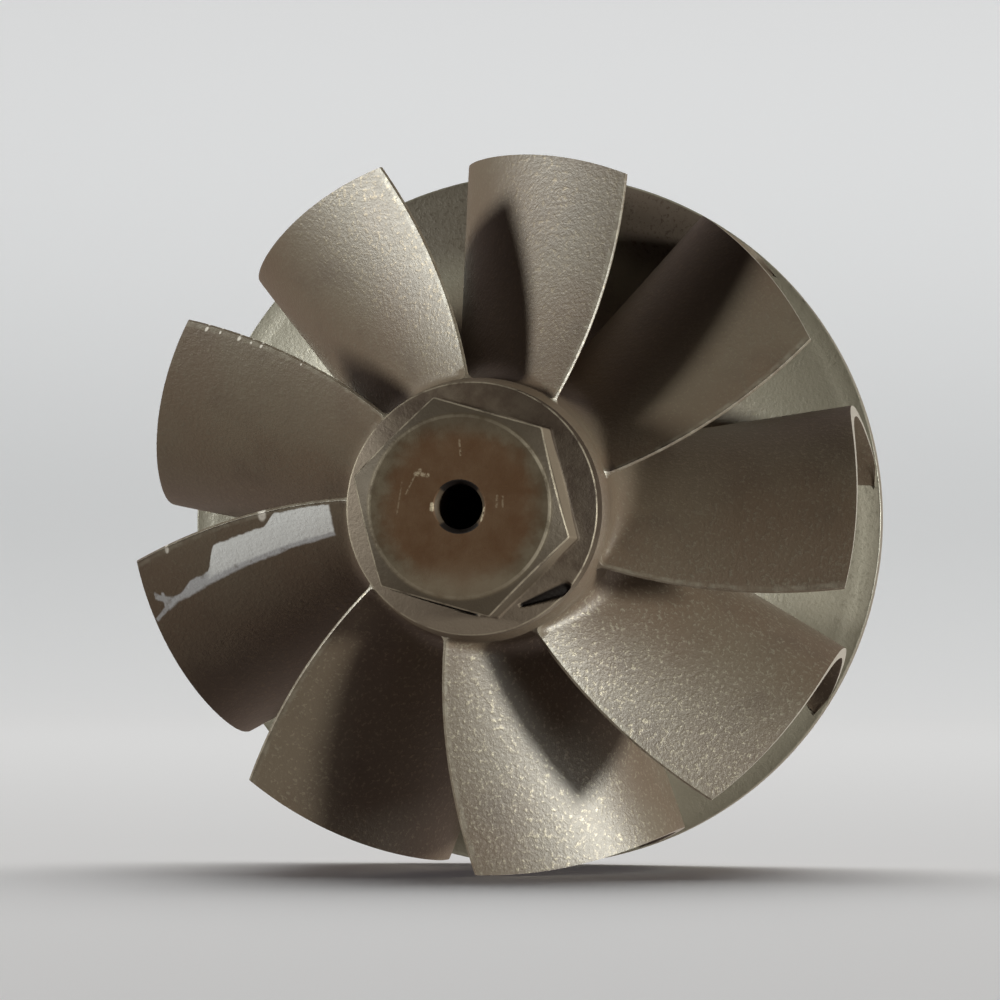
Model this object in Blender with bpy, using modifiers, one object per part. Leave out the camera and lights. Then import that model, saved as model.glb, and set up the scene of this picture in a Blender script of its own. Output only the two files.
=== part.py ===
"""Turbine wheel of a small turbocharger, lying on its side as a loose part.

Metres, +Z up. The wheel turns about the Y axis and its nose points to -Y. The origin
is the centre of the flat weld face at the back, where the shaft is joined on.
The real wheel is one investment casting, so its features are fused into one solid:
hub with back disc and weld boss, nine blades, nose collar, hexagon and centre hole.

Below, a station is a distance ahead of the weld face along the wheel's axis.
"""

import math

import bpy
from mathutils import Vector

MM = 0.001

# Driving dimensions of the disc and the hub
DISC_RADIUS = 30.0 * MM
RIM_THICKNESS = 2.2 * MM
BOSS_RADIUS = 10.0 * MM
BOSS_LENGTH = 4.0 * MM
BACK_FACE_RISE = 1.5 * MM
BOSS_FILLET = 1.4 * MM
EDGE_BREAK = 0.3 * MM
NECK_RADIUS = 10.7 * MM
NECK_SHOULDER = 0.4 * MM
HUB_WAIST_RADIUS = 11.2 * MM
HUB_WAIST_RISE = 10.0 * MM
HUB_FLARE_RADIUS = 14.0 * MM
HUB_FLARE_RISE = 1.5 * MM
TURNED_SIDES = 54
HUB_CURVE_POINTS = 14
BOSS_FILLET_POINTS = 3

# Driving dimensions of the nose
COLLAR_RADIUS = 10.25 * MM
COLLAR_LENGTH = 4.0 * MM
COLLAR_SLOPE = math.radians(20.0)
COLLAR_UNDERCUT = 1.2 * MM
HEX_ACROSS_FLATS = 15.7 * MM
HEX_LENGTH = 6.4 * MM
HEX_FACE_RADIUS = 7.25 * MM
HEX_BURIED_RADIUS = 6.5 * MM
HEX_CHAMFER_ANGLE = math.radians(30.0)
CHAMFER_SIDES = 60
HEX_CORNER_ANGLE = math.radians(44.5)
CENTRE_MOUTH_RADIUS = 2.25 * MM
CENTRE_RADIUS = 1.75 * MM
CENTRE_DEPTH = 5.5 * MM
PILOT_RADIUS = 0.9 * MM
PILOT_DEPTH = 8.0 * MM
CENTRE_CONE_ANGLE = math.radians(30.0)
CENTRE_SIDES = 36

# Driving dimensions of the blades
BLADE_COUNT = 9
FIRST_BLADE_ANGLE = math.radians(68.0)
BLADE_TIP_RADIUS = 29.9 * MM
BLADE_LENGTH = 26.6 * MM
ROOT_LEAD = 6.0 * MM
TURN_MOST = math.radians(29.3)
TURN_MOST_AT = 0.655
TURN_POWER = 2.5
TURN_BACK = math.radians(9.0)
OUTLET_LEAN = math.radians(12.7)
INLET_OFFSET = 3.5 * MM
LEAN_SETTLES_AT = 0.6
TIP_THICKNESS = 1.0 * MM
ROOT_THICKNESS = 1.9 * MM
OUTLET_SHARE = 0.5
OUTLET_TAPER_LENGTH = 0.35
INLET_SHARE = 0.6
INLET_TAPER_FROM = 0.55
ROOT_FILLET = 1.4 * MM
FILLET_FLARE = 0.6 * MM
ROOT_BURIED = 0.7 * MM
ROOT_STARTS_AT = 0.04
ROOT_ENDS_AT = 0.90
BLADE_STEPS_ALONG = 14
BLADE_STEPS_UP = 8
BLADE_ROW_CROWDING = 1.6
BLADE_OUTLET_CROWDING = 1.5

# Stations that follow from them
BACK_STATION = BOSS_LENGTH
RIM_BACK_STATION = BACK_STATION + BACK_FACE_RISE
RIM_STATION = RIM_BACK_STATION + RIM_THICKNESS
OUTLET_TIP_STATION = RIM_STATION + BLADE_LENGTH
OUTLET_ROOT_STATION = OUTLET_TIP_STATION + ROOT_LEAD
COLLAR_STATION = OUTLET_ROOT_STATION + COLLAR_LENGTH
NOSE_STATION = COLLAR_STATION + HEX_LENGTH
FUSE_OVERLAP = 1.0 * MM
SHARP_ANGLE = math.radians(35.0)


def clear_scene():
    for item in list(bpy.data.objects):
        bpy.data.objects.remove(item, do_unlink=True)


def new_collection(name):
    made = bpy.data.collections.new(name)
    bpy.context.scene.collection.children.link(made)
    return made


def mix(low, high, share):
    return low + (high - low) * share


def bezier(points, share):
    """The point at a share of the way along a cubic curve."""
    rest = 1.0 - share
    first, second, third, last = points
    return (
        first * rest**3
        + second * (3.0 * rest**2 * share)
        + third * (3.0 * rest * share**2)
        + last * share**3
    )


def hub_curve():
    """(radius, station) points down the gas side of the hub, from the neck to the rim."""
    controls = (
        Vector((NECK_RADIUS, OUTLET_ROOT_STATION + NECK_SHOULDER)),
        Vector((HUB_WAIST_RADIUS, RIM_STATION + HUB_WAIST_RISE)),
        Vector((HUB_FLARE_RADIUS, RIM_STATION + HUB_FLARE_RISE)),
        Vector((DISC_RADIUS, RIM_STATION)),
    )
    return [bezier(controls, i / HUB_CURVE_POINTS) for i in range(HUB_CURVE_POINTS + 1)]


def curve_normals(curve):
    """Unit vectors that point out of the hub, one for each point of its curve."""
    normals = []
    for i in range(len(curve)):
        ahead = curve[min(i + 1, len(curve) - 1)]
        behind = curve[max(i - 1, 0)]
        run = (ahead - behind).normalized()
        normals.append(Vector((-run.y, run.x)))
    return normals


def distance_to_curve(curve, point):
    """How far a point of the (radius, station) plane lies from the hub's surface."""
    nearest = math.inf
    for start, end in zip(curve, curve[1:]):
        run = end - start
        share = max(0.0, min(1.0, (point - start).dot(run) / run.length_squared))
        nearest = min(nearest, (point - start - run * share).length)
    return nearest


def hub_profile(curve):
    """(radius, station) points from the collar's centre round to the weld face's centre."""
    slope_rise = (COLLAR_RADIUS - HEX_BURIED_RADIUS) * math.tan(COLLAR_SLOPE)
    nose = [
        (0.0, COLLAR_STATION + slope_rise),
        (HEX_BURIED_RADIUS, COLLAR_STATION + slope_rise),
        (COLLAR_RADIUS, COLLAR_STATION),
        (COLLAR_RADIUS, OUTLET_ROOT_STATION + COLLAR_UNDERCUT),
    ]
    rim = [
        (DISC_RADIUS, RIM_BACK_STATION + EDGE_BREAK),
        (DISC_RADIUS - EDGE_BREAK, RIM_BACK_STATION),
    ]
    fillet = []
    for i in range(BOSS_FILLET_POINTS + 1):
        turned = 0.5 * math.pi * i / BOSS_FILLET_POINTS
        out = BOSS_FILLET * (1.0 - math.sin(turned))
        down = BOSS_FILLET * (1.0 - math.cos(turned))
        fillet.append((BOSS_RADIUS + out, BACK_STATION - down))
    boss = [
        (BOSS_RADIUS, EDGE_BREAK),
        (BOSS_RADIUS - EDGE_BREAK, 0.0),
        (0.0, 0.0),
    ]
    return nose + [tuple(point) for point in curve] + rim + fillet + boss


def add_turned(collection, name, profile, sides):
    """A solid turned about the wheel's axis from a profile that runs nose to back."""
    mesh = bpy.data.meshes.new(name)
    edges = [(i, i + 1) for i in range(len(profile) - 1)]
    mesh.from_pydata([(radius, 0.0, station) for radius, station in profile], edges, [])
    turned = bpy.data.objects.new(name, mesh)
    collection.objects.link(turned)
    screw = turned.modifiers.new("turned", "SCREW")
    screw.axis = "Z"
    screw.steps = sides
    screw.render_steps = sides
    screw.use_merge_vertices = True
    screw.merge_threshold = 0.00001
    screw.use_smooth_shade = True
    return turned


def root_share(radius):
    """0 at the blade's tip and 1 at the hub's neck."""
    return (BLADE_TIP_RADIUS - radius) / (BLADE_TIP_RADIUS - NECK_RADIUS)


def outlet_station(radius):
    """Station of the blade's outlet edge, which leans forward towards the hub."""
    return OUTLET_TIP_STATION + ROOT_LEAD * root_share(radius)


def blade_depth(radius, station):
    """How deep a point lies in the wheel: 0 at the outlet edge, 1 at the disc."""
    outlet = outlet_station(radius)
    depth = (outlet - station) / (outlet - RIM_STATION)
    return max(0.0, min(1.0, depth))


def blade_turn(depth):
    """How far round the axis the blade has turned at this depth."""
    if depth < TURN_MOST_AT:
        return TURN_MOST * (1.0 - (1.0 - depth / TURN_MOST_AT) ** TURN_POWER)
    back = (depth - TURN_MOST_AT) / (1.0 - TURN_MOST_AT)
    return TURN_MOST - TURN_BACK * back**2


def blade_lean(depth, radius):
    """How far this radius is turned ahead of the tip at the same depth.

    The outlet edge falls behind evenly towards the hub. Deeper in, the blade is straight
    across and misses the axis.
    """
    at_outlet = -OUTLET_LEAN * root_share(radius)
    at_inlet = math.asin(INLET_OFFSET / radius) - math.asin(INLET_OFFSET / BLADE_TIP_RADIUS)
    settled = math.sin(0.5 * math.pi * min(depth / LEAN_SETTLES_AT, 1.0))
    return mix(at_outlet, at_inlet, settled)


def blade_angle(depth, radius):
    """Angle round the axis of the blade's middle surface, outlet tip at zero."""
    return blade_turn(depth) + blade_lean(depth, radius)


def blade_thickness(curve, depth, height, point):
    """Full thickness: thin at the tip and the outlet, flared where it meets the hub."""
    plain = mix(ROOT_THICKNESS, TIP_THICKNESS, height)
    grown = math.sin(0.5 * math.pi * min(depth / OUTLET_TAPER_LENGTH, 1.0))
    plain *= mix(OUTLET_SHARE, 1.0, grown)
    thinned = max(0.0, depth - INLET_TAPER_FROM) / (1.0 - INLET_TAPER_FROM)
    plain *= mix(1.0, INLET_SHARE, thinned)
    if height == 0.0:
        reach = ROOT_FILLET
    else:
        reach = max(0.0, ROOT_FILLET - distance_to_curve(curve, point))
    flare = ROOT_FILLET - math.sqrt(ROOT_FILLET**2 - reach**2)
    return plain + 2.0 * min(flare, FILLET_FLARE)


def blade_rows(curve):
    """Rows of (position, thickness) over the blade's middle surface, root row first."""
    normals = curve_normals(curve)
    buried_station = RIM_STATION - ROOT_BURIED
    rows = []
    for i in range(BLADE_STEPS_UP + 1):
        height = (i / BLADE_STEPS_UP) ** BLADE_ROW_CROWDING
        row = []
        for j in range(BLADE_STEPS_ALONG + 1):
            along = (j / BLADE_STEPS_ALONG) ** BLADE_OUTLET_CROWDING
            place = mix(ROOT_STARTS_AT, ROOT_ENDS_AT, along) * (len(curve) - 1)
            k = int(place)
            on_hub = curve[k].lerp(curve[k + 1], place - k)
            inward = normals[k].lerp(normals[k + 1], place - k)
            root = on_hub - inward * ROOT_BURIED
            tip = Vector((BLADE_TIP_RADIUS, mix(OUTLET_TIP_STATION, buried_station, along)))
            point = root.lerp(tip, height)
            depth = blade_depth(point.x, point.y)
            angle = blade_angle(depth, point.x)
            position = (point.x * math.cos(angle), point.x * math.sin(angle), point.y)
            row.append((position, blade_thickness(curve, depth, height, point)))
        rows.append(row)
    return rows


def add_blade_mesh(curve):
    """The blade's middle surface, with each vertex's share of the full thickness."""
    rows = blade_rows(curve)
    points = [position for row in rows for position, _ in row]
    thicknesses = [thickness for row in rows for _, thickness in row]
    across = BLADE_STEPS_ALONG + 1
    faces = []
    for i in range(BLADE_STEPS_UP):
        for j in range(BLADE_STEPS_ALONG):
            corner = i * across + j
            faces.append((corner, corner + 1, corner + across + 1, corner + across))
    mesh = bpy.data.meshes.new("blade_middle_surface")
    mesh.from_pydata(points, [], faces)
    mesh.shade_smooth()
    return mesh, thicknesses


def add_blades(collection, material, curve):
    """Nine blades round the axis, each a middle surface with its thickness."""
    mesh, thicknesses = add_blade_mesh(curve)
    mesh.materials.append(material)
    full = max(thicknesses)
    blades = []
    for number in range(1, BLADE_COUNT + 1):
        blade = bpy.data.objects.new(f"blade_{number}", mesh)
        collection.objects.link(blade)
        pitch = 2.0 * math.pi / BLADE_COUNT
        blade.rotation_euler.z = FIRST_BLADE_ANGLE - pitch * (number - 1)
        group = blade.vertex_groups.new(name="thickness")
        for index, thickness in enumerate(thicknesses):
            group.add([index], thickness / full, "REPLACE")
        solidify = blade.modifiers.new("thickness", "SOLIDIFY")
        solidify.thickness = full
        solidify.offset = 0.0
        solidify.vertex_group = group.name
        solidify.thickness_vertex_group = 0.0
        blades.append(blade)
    return blades


def add_cylinder(collection, name, sides, radius, bottom, top, end_radius=None):
    """A prism or cone on the wheel's axis, between two stations."""
    bpy.ops.mesh.primitive_cone_add(
        vertices=sides,
        radius1=radius,
        radius2=radius if end_radius is None else end_radius,
        depth=top - bottom,
        location=(0.0, 0.0, 0.5 * (bottom + top)),
    )
    made = bpy.context.object
    made.name = name
    for owner in list(made.users_collection):
        owner.objects.unlink(made)
    collection.objects.link(made)
    return made


def add_boolean(target, operation, other):
    boolean = target.modifiers.new(f"{operation.lower()} {other.name}", "BOOLEAN")
    boolean.operation = operation
    boolean.solver = "EXACT"
    boolean.object = other


def add_hexagon(collection, material):
    """The hexagon of the nose, its corners turned off to a cone as on a nut."""
    corner_radius = HEX_ACROSS_FLATS / math.sqrt(3.0)
    hexagon = add_cylinder(
        collection,
        "nose_hexagon",
        6,
        corner_radius,
        COLLAR_STATION - FUSE_OVERLAP,
        NOSE_STATION,
    )
    hexagon.rotation_euler.z = HEX_CORNER_ANGLE - math.radians(90.0)
    hexagon.data.materials.append(material)
    cone_bottom = COLLAR_STATION - 2.0 * FUSE_OVERLAP
    cone_length = NOSE_STATION - cone_bottom
    cone = add_cylinder(
        collection,
        "nose_chamfer",
        CHAMFER_SIDES,
        HEX_FACE_RADIUS + cone_length / math.tan(HEX_CHAMFER_ANGLE),
        cone_bottom,
        NOSE_STATION,
        HEX_FACE_RADIUS,
    )
    add_boolean(hexagon, "INTERSECT", cone)
    return hexagon, cone


def add_centre_hole(collection):
    """The cutter of the machining centre: a cone mouth, a bore and a narrow pilot."""
    flare = math.tan(CENTRE_CONE_ANGLE)
    mouth_depth = (CENTRE_MOUTH_RADIUS - CENTRE_RADIUS) / flare
    step_depth = (CENTRE_RADIUS - PILOT_RADIUS) * flare
    top = NOSE_STATION + FUSE_OVERLAP
    profile = [
        (0.0, top),
        (CENTRE_MOUTH_RADIUS + FUSE_OVERLAP * flare, top),
        (CENTRE_RADIUS, NOSE_STATION - mouth_depth),
        (CENTRE_RADIUS, NOSE_STATION - CENTRE_DEPTH),
        (PILOT_RADIUS, NOSE_STATION - CENTRE_DEPTH - step_depth),
        (PILOT_RADIUS, NOSE_STATION - PILOT_DEPTH),
        (0.0, NOSE_STATION - PILOT_DEPTH - PILOT_RADIUS * flare),
    ]
    return add_turned(collection, "centre_hole", profile, CENTRE_SIDES)


def cast_metal():
    """Heat-browned nickel alloy with a blasted cast skin."""
    material = bpy.data.materials.new("cast_nickel_alloy")
    material.use_nodes = True
    shader = material.node_tree.nodes["Principled BSDF"]
    shader.inputs["Base Color"].default_value = (0.145, 0.118, 0.09, 1.0)
    shader.inputs["Roughness"].default_value = 0.5
    shader.inputs["Metallic"].default_value = 0.85
    return material


def hide_helper(item):
    item.hide_render = True
    item.display_type = "WIRE"


def fuse(target):
    """Gives the casting its fused mesh, smooth but for its real edges."""
    bpy.context.view_layer.update()
    graph = bpy.context.evaluated_depsgraph_get()
    mesh = bpy.data.meshes.new_from_object(target.evaluated_get(graph))
    target.modifiers.clear()
    target.data = mesh
    mesh.shade_smooth()
    mesh.set_sharp_from_angle(angle=SHARP_ANGLE)


def main():
    clear_scene()
    wheel_parts = new_collection("turbine_wheel")
    helpers = new_collection("turbine_wheel_cutters")
    material = cast_metal()
    curve = hub_curve()

    laid_on_side = bpy.data.objects.new("wheel_axis", None)
    laid_on_side.rotation_euler.x = math.radians(90.0)
    wheel_parts.objects.link(laid_on_side)

    wheel = add_turned(wheel_parts, "turbine_wheel_casting", hub_profile(curve), TURNED_SIDES)
    wheel.data.materials.append(material)
    hexagon, cone = add_hexagon(helpers, material)
    hole = add_centre_hole(helpers)
    blades = add_blades(helpers, material, curve)
    for item in [wheel, hexagon, cone, hole, *blades]:
        item.parent = laid_on_side
    for item in [hexagon, cone, hole, *blades]:
        hide_helper(item)

    for blade in blades:
        add_boolean(wheel, "UNION", blade)
    add_boolean(wheel, "UNION", hexagon)
    add_boolean(wheel, "DIFFERENCE", hole)
    fuse(wheel)


main()
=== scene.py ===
"""The looks of the turbine wheel: cast skin, ground edges, turned nose and a paint mark.

Metres, in the frame's own axes: the wheel's axis is Y, its nose points to -Y, and it lies
on its side on the floor. A station is a distance ahead of the weld face, so it is -Y. An
angle round the wheel runs from +X towards +Z, which is anticlockwise seen from the nose.
The pieces made here stand in for the plain casting of the frame and keep to its box.
"""

import math

import bmesh
import bpy
import numpy as np
from mathutils import Matrix, Vector


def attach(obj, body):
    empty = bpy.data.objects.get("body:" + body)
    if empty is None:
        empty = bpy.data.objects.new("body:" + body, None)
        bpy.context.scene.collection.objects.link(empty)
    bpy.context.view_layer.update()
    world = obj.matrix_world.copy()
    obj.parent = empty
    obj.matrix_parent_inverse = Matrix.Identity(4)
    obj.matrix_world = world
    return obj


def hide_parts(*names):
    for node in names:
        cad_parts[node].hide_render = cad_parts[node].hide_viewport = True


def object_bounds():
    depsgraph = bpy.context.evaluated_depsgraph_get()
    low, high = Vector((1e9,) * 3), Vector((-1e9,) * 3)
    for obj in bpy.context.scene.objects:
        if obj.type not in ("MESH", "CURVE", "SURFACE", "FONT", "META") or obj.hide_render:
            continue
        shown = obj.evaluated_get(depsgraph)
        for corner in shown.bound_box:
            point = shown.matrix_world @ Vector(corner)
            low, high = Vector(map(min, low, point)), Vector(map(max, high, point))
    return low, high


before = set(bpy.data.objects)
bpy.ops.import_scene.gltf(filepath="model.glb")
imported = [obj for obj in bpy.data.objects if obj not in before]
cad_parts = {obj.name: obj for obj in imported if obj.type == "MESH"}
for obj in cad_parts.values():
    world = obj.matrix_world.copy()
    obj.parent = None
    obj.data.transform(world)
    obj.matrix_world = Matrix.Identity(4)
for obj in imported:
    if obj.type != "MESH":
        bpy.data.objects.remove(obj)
CAD_LOW, CAD_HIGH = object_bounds()

MM = 0.001
CASTING = "turbine_wheel_casting"

# The disc and the hub, from the frame's box and from the CAD's driving dimensions
DISC_RADIUS = 0.5 * (CAD_HIGH[0] - CAD_LOW[0])
NOSE_STATION = -CAD_LOW[1]
BOSS_RADIUS = 10.0 * MM
BOSS_LENGTH = 4.0 * MM
BACK_FACE_RISE = 1.5 * MM
RIM_THICKNESS = 2.2 * MM
NECK_RADIUS = 10.7 * MM
NECK_SHOULDER = 0.4 * MM
HUB_WAIST_RADIUS = 11.2 * MM
HUB_WAIST_RISE = 10.0 * MM
HUB_FLARE_RADIUS = 14.0 * MM
HUB_FLARE_RISE = 1.5 * MM
EDGE_BREAK = 0.15 * MM
BACK_EDGE_BREAK = 0.3 * MM
BOSS_FILLET = 1.2 * MM
BACK_CONE_RADIUS = BOSS_RADIUS + 6.0 * MM
BACK_CONE_ROUND = 1.0 * MM
RIM_LAND = 1.0 * MM
RIM_GROUND_WITHIN = 0.2 * MM
NECK_TUCKED_IN = 1.5 * MM
NECK_TUCKED_UP = 0.2 * MM

# The nose
COLLAR_RADIUS = 10.25 * MM
COLLAR_LENGTH = 4.0 * MM
COLLAR_SLOPE = math.radians(20.0)
COLLAR_UNDERCUT = 1.2 * MM
COLLAR_LAP = 0.4 * MM
HEX_ACROSS_FLATS = 15.7 * MM
HEX_FACE_RADIUS = 7.25 * MM
HEX_CHAMFER_ANGLE = math.radians(30.0)
HEX_CORNER_ANGLE = math.radians(44.5)
HEX_EDGE_ROUND = 0.16 * MM
HEX_CORNER_ROUND = 0.25 * MM
HEX_FOOT_FILLET = 0.2 * MM
COLLAR_EDGE_ROUND = 0.14 * MM
CENTRE_MOUTH_RADIUS = 2.1 * MM
CENTRE_RADIUS = 1.8 * MM
FACE_STARTS_AT = CENTRE_MOUTH_RADIUS + 0.3 * MM
CENTRE_DEPTH = 5.5 * MM
PILOT_RADIUS = 0.9 * MM
PILOT_DEPTH = 8.0 * MM
CENTRE_CONE_ANGLE = math.radians(30.0)

# The gap left under one flat of the hexagon, and a gouge across the collar
SLIT_FLAT_ANGLE = math.radians(254.5)
SLIT_START = -4.5 * MM
SLIT_END = 2.8 * MM
SLIT_DEPTH = 0.7 * MM
SLIT_WIDTH = 0.3 * MM
SLIT_END_SLOPE = 0.3 * MM
SLIT_FLAT_SLOPE = 0.06 * MM
SLIT_WALL_SLOPE = 0.05 * MM
GOUGE_START = (4.2 * MM, -7.75 * MM)
GOUGE_END = (7.6 * MM, -6.5 * MM)
GOUGE_DEPTH = 0.6 * MM
GOUGE_WIDTH = 0.55 * MM
GOUGE_START_SHARE = 0.3

# The blades
BLADE_COUNT = 9
FIRST_BLADE_ANGLE = math.radians(68.0)
BLADE_TIP_RADIUS = DISC_RADIUS - 0.1 * MM
TIP_RADIUS_AT_DISC = DISC_RADIUS - 3.0 * EDGE_BREAK
TIP_RISES_FROM = 0.1 * MM
TIP_RISES_TO = 0.7 * MM
GROUND_WITHIN = 0.05 * MM
GROUND_FACES_OUT = 0.9
BLADE_LENGTH = 26.6 * MM
ROOT_LEAD = 6.0 * MM
TURN_MOST = math.radians(29.3)
TURN_MOST_AT = 0.655
TURN_POWER = 2.5
TURN_BACK = math.radians(9.0)
OUTLET_LEAN = math.radians(12.7)
INLET_OFFSET = 3.5 * MM
LEAN_SETTLES_AT = 0.6
TIP_THICKNESS = 1.0 * MM
ROOT_THICKNESS = 1.9 * MM
OUTLET_EDGE = 0.27 * MM
OUTLET_TAPER_LENGTH = 0.35
INLET_SHARE = 0.6
INLET_TAPER_FROM = 0.55
ROOT_FILLET = 1.5 * MM
OUTLET_FILLET = 0.5 * MM
FILLET_GROWS_OVER = 0.18
FILLET_REACH = 1.15 * ROOT_FILLET
FILLET_SHARE_MOST = 0.6
FOOT_BURIED = 0.8 * MM
HUB_PULL_REACH = 2.5 * ROOT_FILLET
EDGE_BULGE = 0.6
EDGE_BULGE_AT_FOOT = 0.2
ROOT_RUNS_FROM = 0.015
ROOT_RUNS_TO = 0.995
ROW_CROWDING = 1.35

# Stations that follow from them
BACK_STATION = BOSS_LENGTH
RIM_BACK_STATION = BACK_STATION + BACK_FACE_RISE
RIM_STATION = RIM_BACK_STATION + RIM_THICKNESS
OUTLET_TIP_STATION = RIM_STATION + BLADE_LENGTH
OUTLET_ROOT_STATION = OUTLET_TIP_STATION + ROOT_LEAD
COLLAR_STATION = OUTLET_ROOT_STATION + COLLAR_LENGTH
COLLAR_FOOT_STATION = OUTLET_ROOT_STATION + COLLAR_UNDERCUT

# The camera, fitted to the photograph's blade tips
CAMERA_PLACE = Vector((70.40 * MM, -497.56 * MM, -10.93 * MM))
CAMERA_RIGHT = Vector((0.98891, 0.14843, 0.00380))
CAMERA_AHEAD = Vector((-0.14848, 0.98859, 0.02534))
CAMERA_LENS = 205.2
SENSOR_WIDTH = 36.0

# The room's brightness all round, more from below and from behind, and as the camera sees it
ROOM_DIM = 0.014
ROOM_BELOW = 0.12
ROOM_BEHIND = 0.3
ROOM_SEEN = 0.66
ROOM_COLOUR = (1.0, 0.8, 0.69)
SEEN_COLOUR = (0.97, 0.98, 1.0)
KEY_COLOUR = (0.96, 0.985, 0.915)

# The floor and how it glows where it rises, in metres
FLOOR_SIDES = (-3.0, 3.0)
FLOOR_FRONT = -1.6
SWEEP_START = 0.85
SWEEP = 0.35
SWEEP_STEPS = 16
BACKDROP_TOP = 2.0
FLOOR_COLOUR = (0.785, 0.81, 0.81)
GLOW_RUNS = (1.02, 1.2)
GLOW_NEAR = (0.03, 0.03, 0.035)
GLOW_FAR = (0.35, 0.35, 0.355)

# The soft lights as direction from the nose towards +X, rise, distance, size and power
RIGHT_SOFTBOX = (71.0, 1.0, 0.9, 0.15, 9.2)
LEFT_SOFTBOX = (-62.0, 12.0, 0.9, 0.18, 8.4)
FLOOR_BOUNCE = (75.0, -16.0, 0.9, 0.35, 1.1)
FLOOR_SOFTBOX = (184.0, 63.0, 1.5, 1.9, 20.5)

# The blade that carries the paint mark; chips in outlet edges as blade, radius and size in mm
PAINTED_BLADE = 7.0
EDGE_CHIPS = (
    (7.0, 18.4, 0.45),
    (7.0, 27.1, 0.2),
    (8.0, 28.1, 0.16),
    (8.0, 26.9, 0.11),
    (8.0, 25.2, 0.17),
    (8.0, 24.1, 0.1),
    (8.0, 23.2, 0.14),
    (8.0, 19.4, 0.1),
)

# Painted pools of light and patches of shade on the disc's face as place, size in mm and colour
DISC_PAINTED_LIGHT_AND_SHADE = (
    ((11.0, 27.0), 6.0, (0.085, 0.062, 0.045)),
    ((-8.0, 26.5), 5.0, (0.14, 0.115, 0.085)),
    ((-22.0, 16.0), 7.0, (0.4, 0.37, 0.3)),
    ((28.0, -1.0), 8.0, (0.38, 0.345, 0.275)),
)

# Colours of the cast skin, of its ground places, of edge wear and painted glints, and of the paint
# mark
SKIN_BROWNS = ((0.128, 0.088, 0.058), (0.138, 0.105, 0.072))
SKIN_STAIN = (0.1, 0.07, 0.048)
SKIN_SPARK_AND_GLINT = (0.46, 0.42, 0.33)
SKIN_DUST = (0.5, 0.47, 0.4)
DISC_METAL = (0.235, 0.21, 0.16)
DISC_SPARK = (0.4, 0.37, 0.29)
WORN_EDGE_AND_GLINT = (0.27, 0.24, 0.19)
FRESH_CHIP = (0.75, 0.7, 0.64)
GROUND_DISC = (0.22, 0.2, 0.155)
GROUND_TIP = (0.46, 0.44, 0.39)
THICK_PAINT = (0.84, 0.85, 0.87)
THIN_PAINT = (0.52, 0.52, 0.55)

# Colours of the hexagon and the collar, some of them painted light and shade
FACE_BROWNS = ((0.085, 0.042, 0.019), (0.1, 0.056, 0.029))
FACE_OLIVES = ((0.075, 0.055, 0.034), (0.115, 0.09, 0.06))
FACE_LIT_LOW = (0.17, 0.13, 0.09)
FACE_SHADED_HIGH = (0.06, 0.043, 0.028)
CHAMFER_BROWN = (0.075, 0.058, 0.042)
RIGHT_FLATS_LIT = (0.22, 0.175, 0.13)
COLLAR_BROWNS = ((0.07, 0.048, 0.034), (0.11, 0.083, 0.06))
COLLAR_SHADE_RIGHT = (0.035, 0.024, 0.017)
COLLAR_LIT_LOW = (0.19, 0.15, 0.115)
COLLAR_LIT_LEFT = (0.2, 0.16, 0.125)
COLLAR_FLECKS = (0.3, 0.26, 0.2)
RUBBED_EDGE_AND_GLINT = (0.36, 0.31, 0.24)
FRESH_SCRATCH_AND_GLINT = (0.5, 0.42, 0.3)
RECESS_SHADE = (0.008, 0.005, 0.004)

# Grain sizes
SKIN_GRAIN = 0.17 * MM
SKIN_LUMPS = 0.45 * MM
NOSE_GRAIN = 0.14 * MM
NOSE_BLOTCH = 0.7 * MM

# The paint mark's branching outer end as start, end and width in radius and depth, in mm
PAINT_ARMS = (
    ((27.9, 1.95), (29.15, 1.38), 0.13),
    ((28.5, 2.0), (28.5, 1.5), 0.13),
    ((28.4, 2.0), (29.7, 2.25), 0.1),
)

# Scratches in the hexagon's face, and painted glints at the centre hole's mouth, as start, end and
# width in mm, and strength
FACE_SCRATCHES_AND_GLINTS = (
    ((-3.5, 2.6), (-2.55, 2.5), 0.24, 0.5),
    ((-3.4, 2.55), (-3.15, 2.9), 0.2, 0.45),
    ((-4.3, 1.0), (-3.6, 2.4), 0.1, 0.25),
    ((0.0, 5.3), (0.1, 4.1), 0.12, 0.3),
    ((-2.2, -0.25), (-2.2, 0.2), 0.22, 1.0),
    ((1.98, -0.1), (1.75, -1.1), 0.14, 0.8),
    ((3.0, 0.0), (3.05, 0.85), 0.15, 0.2),
    ((3.5, 0.0), (3.5, 0.8), 0.12, 0.2),
    ((-5.0, -0.6), (-4.6, 2.0), 0.1, 0.15),
)

# How finely the pieces are made
TURNED_SIDES = 360
HUB_CURVE_POINTS = 64
BLADE_ROWS = 60
BLADE_WALL_COLUMNS = 46
BLADE_FILLET_COLUMNS = 8
BLADE_TIP_COLUMNS = 4
BLADE_END_ROWS = 6
END_TURN_MOST = 0.5 * math.pi
MOUTH_RINGS = 12
FACE_START_RINGS = 2
FACE_RINGS = 12
FOOT_RINGS = 6
SLOPE_RINGS = 18
DOUBLES_WITHIN = 0.002 * MM
SLIVERS_UNDER = 0.0005 * MM
SMALL_STEP = 0.01 * MM


def mix(low, high, share):
    return low + (high - low) * share


def smooth(value, start, end):
    """0 before start, 1 after end and an easy ramp between them."""
    share = np.clip((value - start) / (end - start), 0.0, 1.0)
    return share * share * (3.0 - 2.0 * share)


def in_frame(radius, angle, station):
    """Points of the frame from radii, angles and stations of the wheel."""
    return np.stack((radius * np.cos(angle), -station, radius * np.sin(angle)), axis=-1)


# Meshes


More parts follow.
